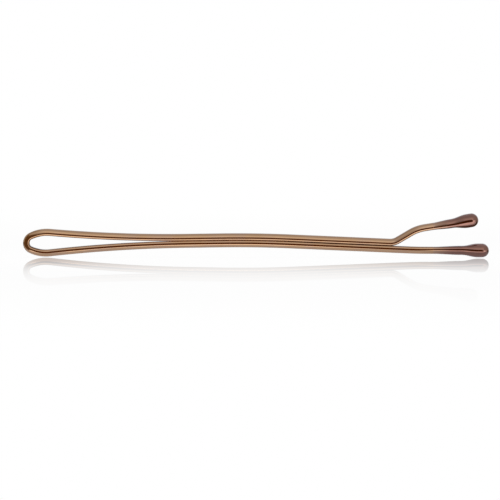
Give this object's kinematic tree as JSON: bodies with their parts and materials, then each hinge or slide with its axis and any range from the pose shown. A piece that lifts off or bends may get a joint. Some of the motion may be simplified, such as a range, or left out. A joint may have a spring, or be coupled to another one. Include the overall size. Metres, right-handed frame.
{
  "type": "hair grip",
  "caption": "Straight sprung hair grip: wire bent double into a closed teardrop loop, prongs pressed together, one end kicked up, a resin bead on each end.",
  "frame": {"origin": "centre of the bounding box's bottom face, on the surface that the grip stands on", "axes": "+X from the closed loop to the free ends, +Z from the lower prong to the kicked prong, Y along the wire's width"},
  "size_m": [0.065, 0.002, 0.0061],
  "materials": {
    "bronze_lacquer": "glossy bronze lacquer on drawn spring steel",
    "brown_resin": "dark reddish-brown dipped resin, glossy"
  },
  "bodies": {
    "lower_prong": {"lower_prong": "bronze_lacquer", "lower_resin_tip": "brown_resin"},
    "loop_arm": {"upper_prong_loop": "bronze_lacquer"},
    "middle_stretch": {"upper_prong_middle": "bronze_lacquer"},
    "kicked_end": {"upper_prong_end": "bronze_lacquer", "upper_resin_tip": "brown_resin"}
  },
  "joints": [
    {"name": "nose_flex", "type": "hinge", "parent": "lower_prong", "child": "loop_arm", "pos_m": [-0.0325, 0, 0.00189], "axis": [0, -1, 0], "range_deg": [0, 6], "stiffness_Nm_per_rad": 0.65},
    {"name": "middle_flex", "type": "hinge", "parent": "loop_arm", "child": "middle_stretch", "pos_m": [-0.01649, 0, 0.00322], "axis": [0, -1, 0], "range_deg": [0, 6], "stiffness_Nm_per_rad": 0.24},
    {"name": "end_flex", "type": "hinge", "parent": "middle_stretch", "child": "kicked_end", "pos_m": [0.00251, 0, 0.00322], "axis": [0, -1, 0], "range_deg": [0, 6], "stiffness_Nm_per_rad": 0.24}
  ],
  "couplings": [
    {"joint": "middle_flex", "follows": "nose_flex", "ratio": 1},
    {"joint": "end_flex", "follows": "nose_flex", "ratio": 1}
  ]
}
